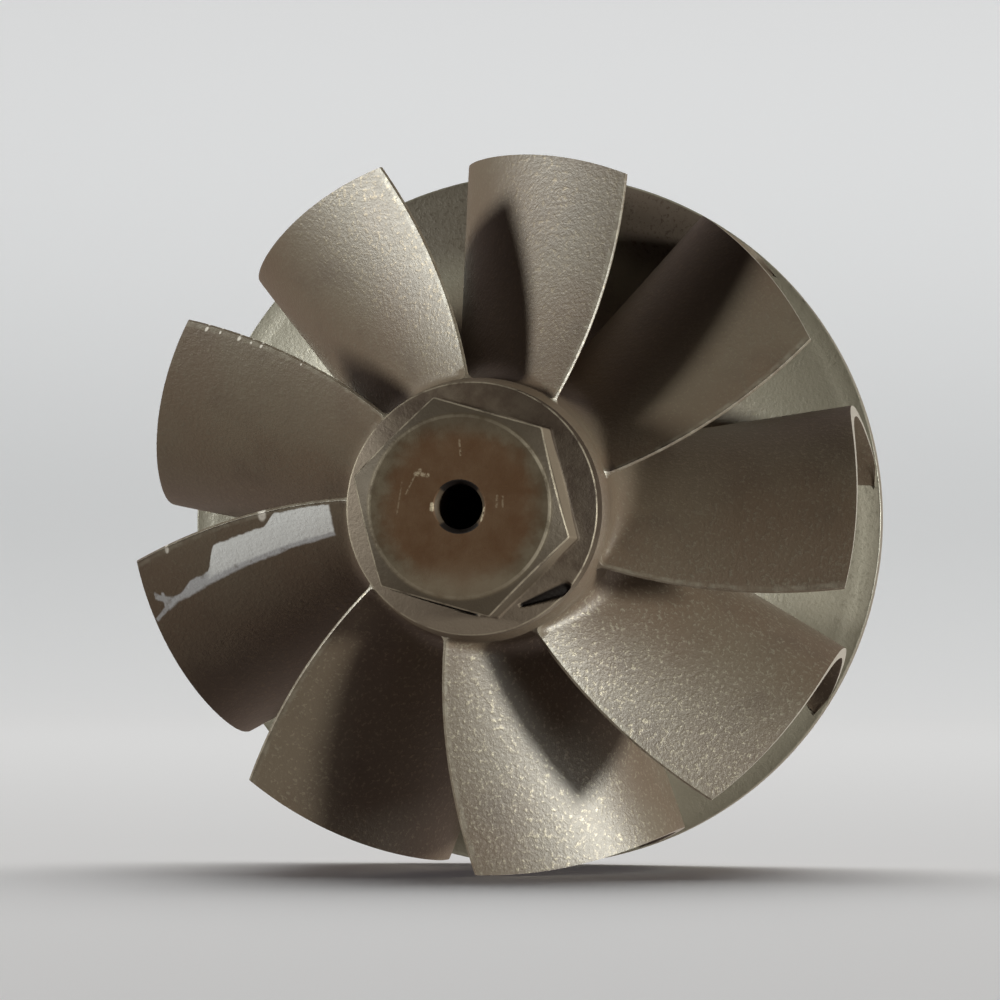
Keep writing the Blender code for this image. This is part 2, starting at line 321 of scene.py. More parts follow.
def grid_object(name, points, wrap=False, close_last=False):
    """A mesh over rows and columns of points; wrap joins the last column to the first."""
    rows, columns = points.shape[:2]
    mesh = bpy.data.meshes.new(name)
    faces = []
    for i in range(rows - 1):
        for j in range(columns if wrap else columns - 1):
            k = (j + 1) % columns
            here, ahead = i * columns, (i + 1) * columns
            faces.append((here + j, here + k, ahead + k, ahead + j))
    if close_last:
        faces.append(tuple((rows - 1) * columns + j for j in range(columns)))
    mesh.from_pydata(points.reshape(-1, 3).tolist(), [], faces)
    made = bpy.data.objects.new(name, mesh)
    bpy.context.scene.collection.objects.link(made)
    return made


def weld(piece):
    """Merges doubled points and turns every face outwards."""
    work = bmesh.new()
    work.from_mesh(piece.data)
    bmesh.ops.remove_doubles(work, verts=work.verts, dist=DOUBLES_WITHIN)
    bmesh.ops.dissolve_degenerate(work, edges=work.edges, dist=SLIVERS_UNDER)
    bmesh.ops.recalc_face_normals(work, faces=work.faces)
    work.to_mesh(piece.data)
    work.free()


def shade(piece, sharp_angle):
    piece.data.shade_smooth()
    piece.data.set_sharp_from_angle(angle=math.radians(sharp_angle))


def paint_faces(piece, name, values):
    """Stores one number on each face for the materials to read."""
    attribute = piece.data.attributes.new(name, "FLOAT", "FACE")
    attribute.data.foreach_set("value", np.asarray(values, dtype=np.float32))


def face_centres(piece):
    centres = np.empty(len(piece.data.polygons) * 3)
    piece.data.polygons.foreach_get("center", centres)
    return centres.reshape(-1, 3)


def rounded(corners, steps=5):
    """A polyline with its corners rounded: corners are (radius, station, round)."""
    line = []
    for i, (radius, station, round_by) in enumerate(corners):
        here = Vector((radius, station))
        if round_by == 0.0 or i in (0, len(corners) - 1):
            line.append(here)
            continue
        before = (Vector(corners[i - 1][:2]) - here).normalized()
        after = (Vector(corners[i + 1][:2]) - here).normalized()
        for k in range(steps + 1):
            share = k / steps
            start = here + before * round_by
            end = here + after * round_by
            line.append(start.lerp(here, share).lerp(here.lerp(end, share), share))
    return line


# The hub's gas side


def hub_curve():
    """(radius, station) points from the collar down the hub and out to the rim."""
    controls = [
        Vector((NECK_RADIUS, OUTLET_ROOT_STATION + NECK_SHOULDER)),
        Vector((HUB_WAIST_RADIUS, RIM_STATION + HUB_WAIST_RISE)),
        Vector((HUB_FLARE_RADIUS, RIM_STATION + HUB_FLARE_RISE)),
        Vector((DISC_RADIUS, RIM_STATION)),
    ]
    line = []
    for i in range(HUB_CURVE_POINTS + 1):
        share = i / HUB_CURVE_POINTS
        rest = 1.0 - share
        line.append(
            controls[0] * rest**3
            + controls[1] * (3.0 * rest**2 * share)
            + controls[2] * (3.0 * rest * share**2)
            + controls[3] * share**3
        )
    return line


HUB_LINE = np.array([tuple(point) for point in hub_curve()])
GAS_SIDE = np.vstack(
    [
        [[COLLAR_RADIUS, COLLAR_STATION]],
        [[COLLAR_RADIUS, COLLAR_FOOT_STATION]],
        HUB_LINE,
        [[DISC_RADIUS * 1.2, RIM_STATION]],
    ]
)


def nearest_on_gas_side(radius, station):
    """Distance from the hub's surface and the unit direction away from it."""
    place = np.stack((np.ravel(radius), np.ravel(station)), axis=-1)
    best = np.full(len(place), np.inf)
    away = np.zeros_like(place)
    for start, end in zip(GAS_SIDE[:-1], GAS_SIDE[1:]):
        run = end - start
        share = np.clip(((place - start) @ run) / (run @ run), 0.0, 1.0)
        gap = place - start - share[:, None] * run
        outward = np.array((-run[1], run[0])) / np.linalg.norm(run)
        length = np.linalg.norm(gap, axis=1)
        side = np.sign(gap @ outward)
        closer = length < np.abs(best)
        best = np.where(closer, np.where(side < 0.0, -length, length), best)
        away[closer] = outward
    return best.reshape(np.shape(radius)), away.reshape(np.shape(radius) + (2,))


# The blades' middle surface, as in the CAD


def root_share(radius):
    """0 at the blade's tip and 1 at the hub's neck."""
    return (BLADE_TIP_RADIUS - radius) / (BLADE_TIP_RADIUS - NECK_RADIUS)


def outlet_station(radius):
    """Station of the outlet edge, which leans forward towards the hub."""
    return OUTLET_TIP_STATION + ROOT_LEAD * root_share(radius)


def blade_depth(radius, station):
    """How deep a point lies in the wheel: 0 at the outlet edge, 1 at the disc."""
    outlet = outlet_station(radius)
    return (outlet - station) / (outlet - RIM_STATION)


def blade_angle(radius, station):
    """Angle round the axis of the blade's middle surface, its outlet tip at zero."""
    depth = np.clip(blade_depth(radius, station), 0.0, 1.0)
    towards = np.clip(1.0 - depth / TURN_MOST_AT, 0.0, 1.0)
    back = np.clip((depth - TURN_MOST_AT) / (1.0 - TURN_MOST_AT), 0.0, 1.0)
    turn = TURN_MOST * (1.0 - towards**TURN_POWER) - TURN_BACK * back**2
    at_outlet = -OUTLET_LEAN * root_share(radius)
    at_inlet = np.arcsin(INLET_OFFSET / radius) - np.arcsin(INLET_OFFSET / BLADE_TIP_RADIUS)
    settled = np.sin(0.5 * math.pi * np.minimum(depth / LEAN_SETTLES_AT, 1.0))
    return turn + mix(at_outlet, at_inlet, settled)


def blade_point(radius, station):
    """A point of the first blade's middle surface, its outlet tip on the X axis."""
    return in_frame(radius, blade_angle(radius, station), station)


def blade_normal(radius, station):
    """Unit normals of the middle surface, on the side that faces the nose."""
    across = blade_point(radius + SMALL_STEP, station) - blade_point(radius - SMALL_STEP, station)
    along = blade_point(radius, station + SMALL_STEP) - blade_point(radius, station - SMALL_STEP)
    normal = np.cross(across, along)
    return normal / np.linalg.norm(normal, axis=-1, keepdims=True)


def plain_thickness(radius, station, hub_distance):
    """Full thickness without the fillet: thin at the tip and at both open edges."""
    tip_distance = np.maximum(BLADE_TIP_RADIUS - radius, 0.0)
    height = np.clip(hub_distance / (hub_distance + tip_distance + 1e-9), 0.0, 1.0)
    depth = np.clip(blade_depth(radius, station), 0.0, 1.0)
    grown = np.sin(0.5 * math.pi * np.minimum(depth / OUTLET_TAPER_LENGTH, 1.0))
    thinned = np.maximum(0.0, depth - INLET_TAPER_FROM) / (1.0 - INLET_TAPER_FROM)
    thickness = mix(ROOT_THICKNESS, TIP_THICKNESS, height) * mix(1.0, INLET_SHARE, thinned)
    return mix(OUTLET_EDGE, thickness, grown)


def blade_lines():
    """Rows of (radius, station) from the hub up to the tip, outlet row first."""
    fillet_turns = np.linspace(0.0, 0.5 * math.pi, BLADE_FILLET_COLUMNS, endpoint=False)
    fillet_steps = 1.0 - np.cos(fillet_turns)
    radii = []
    stations = []
    for i in range(BLADE_ROWS + 1):
        along = (i / BLADE_ROWS) ** ROW_CROWDING
        place = mix(ROOT_RUNS_FROM, ROOT_RUNS_TO, along) * HUB_CURVE_POINTS
        k = min(int(place), HUB_CURVE_POINTS - 1)
        root = mix(HUB_LINE[k], HUB_LINE[k + 1], place - k)
        tip = np.array((BLADE_TIP_RADIUS, mix(OUTLET_TIP_STATION, RIM_STATION, along)))
        length = np.linalg.norm(tip - root)
        wall_start = min(FILLET_REACH / length, FILLET_SHARE_MOST)
        wall_part = np.linspace(wall_start, 1.0, BLADE_WALL_COLUMNS)
        shares = np.concatenate((fillet_steps * wall_start, wall_part))
        radii.append(mix(root[0], tip[0], shares))
        stations.append(mix(root[1], tip[1], shares))
    radius = np.array(radii)
    station = np.array(stations)
    station[0] = outlet_station(radius[0])
    return radius, station


def blade_wall(radius, station, side, end_turn=0.0):
    """One side of the blade, its foot laid on the hub with a round fillet.

    end_turn goes from 0 on the side to a right angle at the middle of the outlet edge.
    """
    hub_distance, _ = nearest_on_gas_side(radius, station)
    depth = np.clip(blade_depth(radius, station), 0.0, 1.0)
    fillet = mix(OUTLET_FILLET, ROOT_FILLET, smooth(depth, 0.0, FILLET_GROWS_OVER))
    gap = np.clip(fillet - hub_distance, 0.0, fillet)
    flare = fillet - np.sqrt(fillet**2 - gap**2)
    half = 0.5 * plain_thickness(radius, station, hub_distance)
    normal = blade_normal(radius, station)
    points = blade_point(radius, station)
    ahead = blade_point(radius, station + SMALL_STEP) - points
    ahead /= np.linalg.norm(ahead, axis=-1, keepdims=True)
    sideways = math.sqrt(math.cos(end_turn))
    forward = math.sqrt(math.sin(end_turn))
    bulge = EDGE_BULGE * half + EDGE_BULGE_AT_FOOT * flare
    points = points + normal * (side * sideways * (half + flare))[..., None]
    points = points + ahead * (forward * bulge)[..., None]
    return lay_on_hub(points, hub_distance)


def lay_on_hub(points, hub_distance):
    """Moves points near the hub to the distance from it that they had on the blade."""
    radius = np.hypot(points[..., 0], points[..., 2])
    station = -points[..., 1]
    angle = np.arctan2(points[..., 2], points[..., 0])
    distance, away = nearest_on_gas_side(radius, station)
    share = 1.0 - smooth(hub_distance, ROOT_FILLET, HUB_PULL_REACH)
    move = (hub_distance - distance) * share
    clear_of_disc = smooth(hub_distance, TIP_RISES_FROM, TIP_RISES_TO)
    reach = mix(TIP_RADIUS_AT_DISC, DISC_RADIUS, clear_of_disc)
    radius = np.minimum(radius + away[..., 0] * move, reach)
    return in_frame(radius, angle, station + away[..., 1] * move)


def cut_to_tip_radius(points):
    """Puts points on the cylinder that the tips are ground to, drawn in at the disc."""
    radius = np.hypot(points[..., 0], points[..., 2])
    clear_of_disc = smooth(-points[..., 1] - RIM_STATION, TIP_RISES_FROM, TIP_RISES_TO)
    scale = mix(TIP_RADIUS_AT_DISC, BLADE_TIP_RADIUS, clear_of_disc) / radius
    return np.stack((points[..., 0] * scale, points[..., 1], points[..., 2] * scale), axis=-1)


def blade_ring(radius, station, end_turn=0.0):
    """One row right round the blade: up one side, over the tip and down the other."""
    up = blade_wall(radius, station, 1.0, end_turn)
    down = blade_wall(radius, station, -1.0, end_turn)
    up[-1] = cut_to_tip_radius(up[-1])
    down[-1] = cut_to_tip_radius(down[-1])
    over = [
        cut_to_tip_radius(mix(up[-1], down[-1], k / (BLADE_TIP_COLUMNS + 1)))
        for k in range(1, BLADE_TIP_COLUMNS + 1)
    ]
    buried = blade_point(radius[:1], station[:1])
    buried = lay_on_hub(buried, np.array([-FOOT_BURIED]))
    return np.concatenate((up, np.array(over), down[::-1], buried))


def make_first_blade():
    """The first blade, its outlet tip turned to the X axis."""
    radius, station = blade_lines()
    rings = []
    for k in range(BLADE_END_ROWS):
        end_turn = END_TURN_MOST * (1.0 - k / BLADE_END_ROWS)
        rings.append(blade_ring(radius[0], station[0], end_turn))
    for i in range(BLADE_ROWS + 1):
        rings.append(blade_ring(radius[i], station[i]))
    blade = grid_object("turbine_blades", np.array(rings), wrap=True, close_last=True)
    weld(blade)
    store_blade_map(blade)
    return blade


def store_blade_map(blade):
    """Keeps each point's depth and radius, which the blade's marks are drawn in."""
    points = np.empty(len(blade.data.vertices) * 3)
    blade.data.vertices.foreach_get("co", points)
    points = points.reshape(-1, 3)
    radius = np.hypot(points[:, 0], points[:, 2])
    depth = outlet_station(radius) + points[:, 1]
    for name, values in (("blade_depth", depth), ("blade_radius", radius)):
        attribute = blade.data.attributes.new(name, "FLOAT", "POINT")
        attribute.data.foreach_set("value", (values / MM).astype(np.float32))
    centres = face_centres(blade)
    reach = np.hypot(centres[:, 0], centres[:, 2])
    normals = np.empty(len(blade.data.polygons) * 3)
    blade.data.polygons.foreach_get("normal", normals)
    normals = normals.reshape(-1, 3)
    outward = (centres[:, 0] * normals[:, 0] + centres[:, 2] * normals[:, 2]) / reach
    on_tip = (reach > BLADE_TIP_RADIUS - GROUND_WITHIN) & (outward > GROUND_FACES_OUT)
    paint_faces(blade, "ground", on_tip.astype(float))


# Geometry Nodes


class NodeTree:
    """Builds a Geometry Nodes tree and sets its inputs on a modifier."""

    def __init__(self, name):
        self.tree = bpy.data.node_groups.new(name, "GeometryNodeTree")
        self.identifiers = {}
        self.input("Geometry", "NodeSocketGeometry")
        self.tree.interface.new_socket(
            "Geometry", in_out="OUTPUT", socket_type="NodeSocketGeometry"
        )
        self.start = self.tree.nodes.new("NodeGroupInput")
        self.end = self.tree.nodes.new("NodeGroupOutput")

    def input(self, name, kind):
        socket = self.tree.interface.new_socket(name, in_out="INPUT", socket_type=kind)
        self.identifiers[name] = socket.identifier

    def node(self, kind, settings=None, **sockets):
        """A node of a type, its settings first and then its sockets' values or links."""
        made = self.tree.nodes.new(kind)
        for key, value in (settings or {}).items():
            setattr(made, key, value)
        for key, value in sockets.items():
            self.feed(made.inputs[key.replace("_", " ")], value)
        return made

    def math(self, operation, *values):
        made = self.node("ShaderNodeMath", {"operation": operation})
        for socket, value in zip(made.inputs, values):
            self.feed(socket, value)
        return made.outputs[0]

    def feed(self, socket, value):
        if isinstance(value, bpy.types.NodeSocket):
            self.tree.links.new(value, socket)
        else:
            socket.default_value = value

    def finish(self, geometry, material):
        """Ends the tree in real geometry with its material."""
        real = self.node("GeometryNodeRealizeInstances", Geometry=geometry)
        dressed = self.node("GeometryNodeSetMaterial", Geometry=real.outputs[0], Material=material)
        self.tree.links.new(dressed.outputs[0], self.end.inputs[0])

    def apply(self, piece, **values):
        """Runs the tree on a piece and leaves the piece a plain mesh."""
        modifier = piece.modifiers.new(self.tree.name, "NODES")
        modifier.node_group = self.tree
        for name, value in values.items():
            modifier[self.identifiers[name.replace("_", " ")]] = value
        bpy.context.view_layer.update()
        graph = bpy.context.evaluated_depsgraph_get()
        mesh = bpy.data.meshes.new_from_object(piece.evaluated_get(graph))
        piece.modifiers.clear()
        piece.data = mesh


def repeat_round_axis(piece, material):
    """Repeats a blade round the wheel's axis, each with its own number from 1 on."""
    tree = NodeTree("blades_round_the_hub")
    tree.input("Blade Count", "NodeSocketInt")
    tree.input("First Angle", "NodeSocketFloat")
    start = tree.start.outputs
    line = tree.node("GeometryNodeMeshLine", Count=start["Blade Count"], Offset=(0.0, 0.0, 0.0))
    points = tree.node("GeometryNodeMeshToPoints", Mesh=line.outputs[0])
    index = tree.node("GeometryNodeInputIndex").outputs[0]
    pitch = tree.math("DIVIDE", 2.0 * math.pi, start["Blade Count"])
    angle = tree.math("SUBTRACT", tree.math("MULTIPLY", index, pitch), start["First Angle"])
    rotation = tree.node("ShaderNodeCombineXYZ", Y=angle)
    placed = tree.node(
        "GeometryNodeInstanceOnPoints",
        Points=points.outputs[0],
        Instance=start["Geometry"],
        Rotation=rotation.outputs[0],
    )
    numbered = tree.node(
        "GeometryNodeStoreNamedAttribute",
        {"data_type": "FLOAT", "domain": "INSTANCE"},
        Geometry=placed.outputs[0],
        Name="blade_number",
        Value=tree.math("ADD", index, 1.0),
    )
    tree.finish(numbered.outputs[0], material)
    tree.apply(piece, Blade_Count=BLADE_COUNT, First_Angle=FIRST_BLADE_ANGLE)


# Turned pieces


def turned_object(name, line):
    """A body turned about the wheel's axis from (radius, station) points."""
    angles = np.linspace(0.0, 2.0 * math.pi, TURNED_SIDES, endpoint=False)
    profile = np.array([tuple(point) for point in line])
    radius, around = np.meshgrid(profile[:, 0], angles, indexing="ij")
    station = np.repeat(profile[:, 1:], TURNED_SIDES, axis=1)
    made = grid_object(name, in_frame(radius, around, station), wrap=True)
    weld(made)
    return made


def make_hub():
    """Hub, back disc and weld boss, from under the collar to the weld face."""
    neck = [
        Vector((COLLAR_RADIUS - NECK_TUCKED_IN, COLLAR_FOOT_STATION + NECK_TUCKED_UP)),
        Vector((COLLAR_RADIUS, COLLAR_FOOT_STATION)),
    ]
    gas_side = [point for point in hub_curve() if point.x < DISC_RADIUS - RIM_LAND]
    back = rounded(
        [
            (DISC_RADIUS - RIM_LAND, RIM_STATION, 0.0),
            (DISC_RADIUS, RIM_STATION, EDGE_BREAK),
            (DISC_RADIUS, RIM_BACK_STATION, BACK_EDGE_BREAK),
            (BACK_CONE_RADIUS, BACK_STATION, BACK_CONE_ROUND),
            (BOSS_RADIUS, BACK_STATION, BOSS_FILLET),
            (BOSS_RADIUS, 0.0, BACK_EDGE_BREAK),
            (0.0, 0.0, 0.0),
        ]
    )
    hub = turned_object("hub_and_disc", neck + gas_side + back)
    centres = face_centres(hub)
    radius = np.hypot(centres[:, 0], centres[:, 2])
    on_rim = radius > DISC_RADIUS - RIM_GROUND_WITHIN
    on_back = -centres[:, 1] < RIM_BACK_STATION + GROUND_WITHIN
    paint_faces(hub, "ground", (on_rim | on_back).astype(float))
    return hub


def hex_radius(angle):
    """Radius of the hexagon's outline at an angle, its corners slightly rounded."""
    half_side = math.pi / 6.0
    off_corner = np.abs((angle - HEX_CORNER_ANGLE + half_side) % (2.0 * half_side) - half_side)
    centre = (0.5 * HEX_ACROSS_FLATS - HEX_CORNER_ROUND) / math.cos(half_side)
    touch = math.atan2(
        HEX_CORNER_ROUND * math.sin(half_side),
        centre + HEX_CORNER_ROUND * math.cos(half_side),
    )
    flat = 0.5 * HEX_ACROSS_FLATS / np.cos(half_side - off_corner)
    inside = np.maximum(HEX_CORNER_ROUND**2 - (centre * np.sin(off_corner)) ** 2, 0.0)
    arc = centre * np.cos(off_corner) + np.sqrt(inside)
    return np.where(off_corner < touch, arc, flat)


def nose_angles():
    """Angles round the nose, crowded at the six corners."""
    steps = []
    for corner in range(6):
        base = HEX_CORNER_ANGLE + corner * math.pi / 3.0
        close = np.radians(np.linspace(-1.4, 1.4, 9))
        apart = np.radians(np.linspace(2.0, 58.0, 57))
        steps.append(base + np.concatenate((close, apart)))
    return np.concatenate(steps)


def bore_rings():
    """Rings of the centre hole from its bottom up to its mouth."""
    flare = math.tan(CENTRE_CONE_ANGLE)
    mouth_depth = (CENTRE_MOUTH_RADIUS - CENTRE_RADIUS) / flare
    step_depth = (CENTRE_RADIUS - PILOT_RADIUS) * flare
    return rounded(
        [
            (0.0, NOSE_STATION - PILOT_DEPTH - PILOT_RADIUS * flare, 0.0),
            (PILOT_RADIUS, NOSE_STATION - PILOT_DEPTH, 0.0),
            (PILOT_RADIUS, NOSE_STATION - CENTRE_DEPTH - step_depth, 0.05 * MM),
            (CENTRE_RADIUS, NOSE_STATION - CENTRE_DEPTH, 0.1 * MM),
            (CENTRE_RADIUS, NOSE_STATION - mouth_depth, 0.08 * MM),
            (CENTRE_MOUTH_RADIUS, NOSE_STATION, 0.08 * MM),
            (FACE_STARTS_AT, NOSE_STATION, 0.0),
        ]
    )


def chamfer_rings(outline):
    """The turned cone that takes the hexagon's corners off, with soft edges."""
    drop = math.tan(HEX_CHAMFER_ANGLE)
    rings = []
    for turn in np.linspace(0.0, 1.0, 5)[1:]:
        out = HEX_FACE_RADIUS - HEX_EDGE_ROUND * (1.0 - turn) ** 2 + HEX_EDGE_ROUND * turn**2
        down = HEX_EDGE_ROUND * turn**2 * drop
        rings.append((np.full_like(outline, out), np.full_like(outline, NOSE_STATION - down)))
    start = HEX_FACE_RADIUS + HEX_EDGE_ROUND
    for share in np.linspace(0.0, 1.0, 7)[1:]:
        out = mix(start, outline - HEX_EDGE_ROUND, share)
        rings.append((out, NOSE_STATION - (out - HEX_FACE_RADIUS) * drop))
    return rings


def flat_rings(outline):
    """The hexagon's flats, from their edge under the chamfer down to the foot."""
    drop = math.tan(HEX_CHAMFER_ANGLE)
    edge = NOSE_STATION - (outline - HEX_FACE_RADIUS) * drop
    rings = []
    for turn in np.linspace(0.0, 1.0, 6)[1:]:
        out = outline - HEX_EDGE_ROUND * (1.0 - turn) ** 2
        down = HEX_EDGE_ROUND * turn**2 - HEX_EDGE_ROUND * (1.0 - turn) ** 2 * drop
        rings.append((out, edge - down))
    foot = COLLAR_STATION + (COLLAR_RADIUS - outline) * math.tan(COLLAR_SLOPE) + HEX_FOOT_FILLET
    for share in np.linspace(0.0, 1.0, 10)[1:]:
        rings.append((outline, mix(edge - HEX_EDGE_ROUND, foot, share)))
    return rings


def collar_rings(outline):
    """The sloping collar round the hexagon's foot and its outer edge."""
    slope = math.tan(COLLAR_SLOPE)
    edge = COLLAR_RADIUS - COLLAR_EDGE_ROUND
    level = np.zeros_like(outline)
    rings = []
    for offset in np.linspace(0.0, 1.0, FOOT_RINGS + 1)[1:]:
        out = outline + HEX_FOOT_FILLET * offset
        rise = HEX_FOOT_FILLET * (1.0 - offset) ** 2
        rings.append((out, COLLAR_STATION + (COLLAR_RADIUS - out) * slope + rise))
    for share in np.linspace(0.0, 1.0, SLOPE_RINGS + 1)[1:]:
        out = mix(outline + HEX_FOOT_FILLET, edge, share)
        rings.append((out, COLLAR_STATION + (COLLAR_RADIUS - out) * slope))
    for turn in np.linspace(0.0, 1.0, 6)[1:]:
        out = COLLAR_RADIUS - COLLAR_EDGE_ROUND * (1.0 - turn) ** 2
        down = COLLAR_EDGE_ROUND * (turn**2 - (1.0 - turn) ** 2 * slope)
        rings.append((level + out, level + COLLAR_STATION - down))
    for share in np.linspace(0.0, 1.0, 5)[1:]:
        station = mix(COLLAR_STATION - COLLAR_EDGE_ROUND, COLLAR_FOOT_STATION, share)
        rings.append((level + COLLAR_RADIUS, level + station))
    rings.append((level + COLLAR_RADIUS - NECK_TUCKED_IN, level + COLLAR_FOOT_STATION - COLLAR_LAP))
    return rings


def collar_dents(radius, angle):
    """How deep the slit under one flat and the gouge are cut, at points of the collar."""
    across = radius * np.cos(angle - SLIT_FLAT_ANGLE) - 0.5 * HEX_ACROSS_FLATS
    along = radius * np.sin(angle - SLIT_FLAT_ANGLE)
    ends = smooth(along, SLIT_START - SLIT_END_SLOPE, SLIT_START + SLIT_END_SLOPE)
    ends = ends * (1.0 - smooth(along, SLIT_END - SLIT_END_SLOPE, SLIT_END + SLIT_END_SLOPE))
    width = mix(0.5, 1.0, smooth(along, SLIT_START, SLIT_END)) * SLIT_WIDTH
    past = smooth(across, width - SLIT_WALL_SLOPE, width + SLIT_WALL_SLOPE)
    slit = SLIT_DEPTH * ends * smooth(across, -SLIT_FLAT_SLOPE, 0.0) * (1.0 - past)
    start = np.array(GOUGE_START)
    run = np.array(GOUGE_END) - start
    place = np.stack((radius * np.cos(angle), radius * np.sin(angle)), axis=-1) - start
    share = np.clip(place @ run / (run @ run), 0.0, 1.0)
    distance = np.linalg.norm(place - share[..., None] * run, axis=-1)
    breadth = mix(GOUGE_START_SHARE, 1.0, share) * GOUGE_WIDTH
    gouge = GOUGE_DEPTH * np.exp(-((distance / breadth) ** 4))
    return np.maximum(slit, gouge)


def make_nose():
    """Hexagon with its centre hole, and the collar, as rings over one set of columns."""
    angles = nose_angles()
    outline = hex_radius(angles)
    level = np.zeros_like(angles)
    rings = [(level + point.x, level + point.y) for point in bore_rings()]
    mouth_end = len(rings) - FACE_START_RINGS
    mouth_start = mouth_end - MOUTH_RINGS
    for share in np.linspace(0.0, 1.0, FACE_RINGS + 1)[1:]:
        ring = mix(FACE_STARTS_AT, HEX_FACE_RADIUS - HEX_EDGE_ROUND, share)
        rings.append((level + ring, level + NOSE_STATION))
    chamfer_start = len(rings)
    rings += chamfer_rings(outline)
    flats_start = len(rings)
    rings += flat_rings(outline)
    collar_start = len(rings)
    collar_edge = collar_start + FOOT_RINGS + SLOPE_RINGS
    rings += collar_rings(outline)
    radius = np.array([ring[0] for ring in rings])
    station = np.array([ring[1] for ring in rings])
    around = np.broadcast_to(angles, radius.shape)

    dents = collar_dents(radius, around)
    dents[:collar_start] = 0.0
    dents *= smooth(station, COLLAR_STATION - 2.5 * COLLAR_EDGE_ROUND, COLLAR_STATION)
    # Painted shade, kept as dark: black down the centre hole, at the top and bottom of its mouth
    # where the side lights miss, and in the slit and the gouge
    dark = dents / SLIT_DEPTH
    dark[:mouth_start] = 1.0
    dark[mouth_start:mouth_end] = smooth(np.abs(np.sin(angles)), 0.55, 0.85)
    # Edge rings that the nose's material paints paler, partly as rubbing and partly as painted
    # glints
    wear_and_glint = np.zeros_like(radius)
    for start, count in ((chamfer_start, 3), (flats_start, 4), (collar_edge, 4)):
        wear_and_glint[start : start + count] = 1.0

    nose = grid_object("nose_hexagon", in_frame(radius, around, station - dents), wrap=True)
    for name, values in (("dark", dark), ("wear_and_glint", wear_and_glint)):
        attribute = nose.data.attributes.new(name, "FLOAT", "POINT")
        attribute.data.foreach_set("value", values.ravel().astype(np.float32))
    weld(nose)
    return nose


# Materials


class Number:
    """A shader value that Python arithmetic works on."""

    def __init__(self, shader, socket):
        self.shader = shader
        self.socket = socket

    def combine(self, operation, *others):
        return self.shader.node("ShaderNodeMath", {"operation": operation}, [self, *others])

    def __add__(self, other):
        return self.combine("ADD", other)

    __radd__ = __add__

    def __mul__(self, other):
        return self.combine("MULTIPLY", other)

    __rmul__ = __mul__

    def __sub__(self, other):
        return self.combine("SUBTRACT", other)

    def __rsub__(self, other):
        return self.shader.node("ShaderNodeMath", {"operation": "SUBTRACT"}, [other, self])

    def __truediv__(self, other):
        return self.combine("DIVIDE", other)

    def __pow__(self, other):
        return self.combine("POWER", other)

    def largest(self, other):
        return self.combine("MAXIMUM", other)

    def smallest(self, other):
        return self.combine("MINIMUM", other)

    def absolute(self):
        return self.combine("ABSOLUTE")

    def clamped(self):
        return self.smallest(1.0).largest(0.0)

    def ramp(self, start, end):
        """0 at start, 1 at end, with an easy curve between them."""
        return self.shader.node(
            "ShaderNodeMapRange",
            {"interpolation_type": "SMOOTHSTEP"},
            {"Value": self, "From Min": start, "From Max": end, "To Min": 0.0, "To Max": 1.0},
        )


class Shader:
    """Builds the nodes of a material or of the world."""

    def __init__(self, owner, surface):
        owner.use_nodes = True
        self.owner = owner
        self.tree = owner.node_tree
        self.surface = self.tree.nodes[surface]

    def node(self, kind, settings=None, inputs=(), output=0):
        """A node of a type: settings first, then values or links, by place or by name."""
        made = self.tree.nodes.new(kind)
        for key, value in (settings or {}).items():
            setattr(made, key, value)
        pairs = inputs.items() if isinstance(inputs, dict) else enumerate(inputs)
        for key, value in pairs:
            self.feed(made.inputs[key], value)
        return Number(self, made.outputs[output])

    def feed(self, socket, value):
        if isinstance(value, Number):
            self.tree.links.new(value.socket, socket)
        elif isinstance(value, tuple) and socket.type == "RGBA":
            socket.default_value = (*value, 1.0)
        else:
            socket.default_value = value

    def place(self):
        return self.node("ShaderNodeTexCoord", output="Object")

    def part_of_place(self, axis):
        return self.node("ShaderNodeSeparateXYZ", {}, [self.place()], axis)

    def noise(self, size, detail=3.0, roughness=0.5, seed=0.0):
        """Noise whose lumps are about the given size."""
        inputs = {"Vector": self.place(), "W": seed, "Scale": 0.5 / size}
        inputs.update({"Detail": detail, "Roughness": roughness})
        return self.node("ShaderNodeTexNoise", {"noise_dimensions": "4D"}, inputs)

    def attribute(self, name):
        return self.node("ShaderNodeAttribute", {"attribute_name": name}, output="Fac")

    def mix(self, share, low, high):
        """A colour between two others."""
        made = self.tree.nodes.new("ShaderNodeMix")
        made.data_type = "RGBA"
        self.feed(made.inputs[0], share)
        self.feed(made.inputs[6], low)
        self.feed(made.inputs[7], high)
        return Number(self, made.outputs[2])

    def streak(self, across, along, start, end):
        """Distance of a point of a flat map from a straight mark between two others."""
        run = (end[0] - start[0], end[1] - start[1])
        u = across - start[0]
        v = along - start[1]
        share = ((u * run[0] + v * run[1]) / (run[0] ** 2 + run[1] ** 2)).clamped()
        off_u = u - share * run[0]
        off_v = v - share * run[1]
        return (off_u * off_u + off_v * off_v) ** 0.5

    def specks(self, spacing, size, share, seed):
        """Small round specks, spacing apart, on a share of the places."""
        inputs = {"Vector": self.place(), "W": seed, "Scale": 1.0 / spacing}
        near = self.node("ShaderNodeTexVoronoi", {"voronoi_dimensions": "4D"}, inputs, "Distance")
        cell = Number(self, near.socket.node.outputs["Color"])
        chosen = self.node("ShaderNodeSeparateColor", {}, [cell]).ramp(1.0 - share, 1.02 - share)
        return near.ramp(size / spacing, 0.5 * size / spacing) * chosen

    def bump(self, height, distance, strength, normal=None):
        inputs = {"Height": height, "Distance": distance, "Strength": strength}
        if normal:
            inputs["Normal"] = normal
        return self.node("ShaderNodeBump", {}, inputs)

    def set(self, **sockets):
        for key, value in sockets.items():
            self.feed(self.surface.inputs[key.replace("_", " ")], value)


